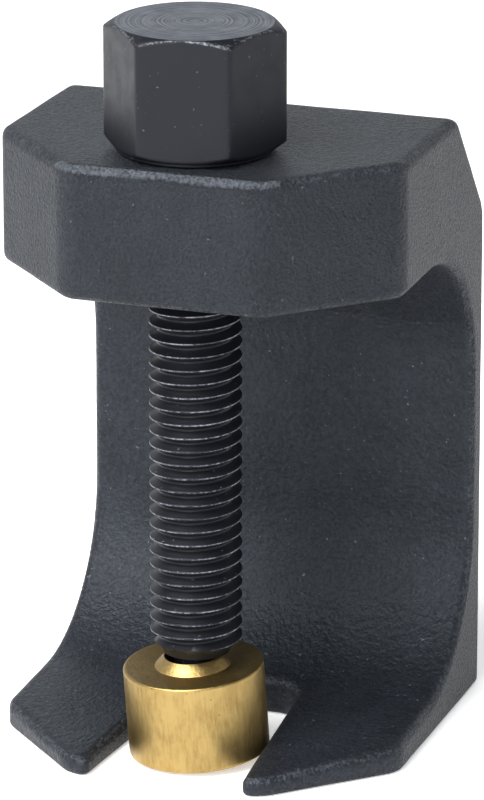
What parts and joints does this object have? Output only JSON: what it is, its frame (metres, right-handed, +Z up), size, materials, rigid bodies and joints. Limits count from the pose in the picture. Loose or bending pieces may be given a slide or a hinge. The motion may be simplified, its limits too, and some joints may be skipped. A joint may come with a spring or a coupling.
{
  "type": "ball joint separator",
  "caption": "Forked C-frame press with a hex-headed forcing screw and a loose swivelling brass thrust cap, for pushing a taper ball joint out of its arm.",
  "frame": {"origin": "middle of the frame's footprint on the plane of the fork's underside", "axes": "+X across the fork, +Y from the fork tips to the upright web, +Z up along the forcing screw towards its hex"},
  "size_m": [0.064, 0.06, 0.1154],
  "materials": {
    "phosphated_forging": "matt black phosphate on a shot-blasted forging",
    "blackened_steel": "black oxide on turned steel",
    "bearing_steel": "polished",
    "spring_steel": "drawn wire",
    "brass": "fine turned, lightly tarnished"
  },
  "bodies": {
    "frame": {"frame": "phosphated_forging"},
    "ball": {"thrust_ball": "bearing_steel"},
    "screw": {"forcing_screw": "blackened_steel"},
    "ring": {"snap_ring": "spring_steel"},
    "cap": {"thrust_cap": "brass"}
  },
  "joints": [
    {"name": "screw_lift", "type": "slide", "parent": "frame", "child": "ball", "axis": [0, 0, 1], "range_m": [0, 0.056]},
    {"name": "screw_turn", "type": "hinge", "parent": "ball", "child": "screw", "pos_m": [0, -0.015, 0.096], "axis": [0, 0, 1], "range_deg": [0, 9524.5]},
    {"name": "cap_rock", "type": "hinge", "parent": "ball", "child": "ring", "pos_m": [0, -0.015, 0.00812], "axis": [0.7547, -0.6561, 0], "range_deg": [-9.2, 0]},
    {"name": "cap_swivel", "type": "hinge", "parent": "ring", "child": "cap", "pos_m": [0, -0.015, 0.00812], "axis": [-0.0526, -0.0605, 0.9968], "continuous": true}
  ],
  "couplings": [
    {"joint": "screw_turn", "follows": "screw_lift", "rad_per_m": 2968.4}
  ]
}
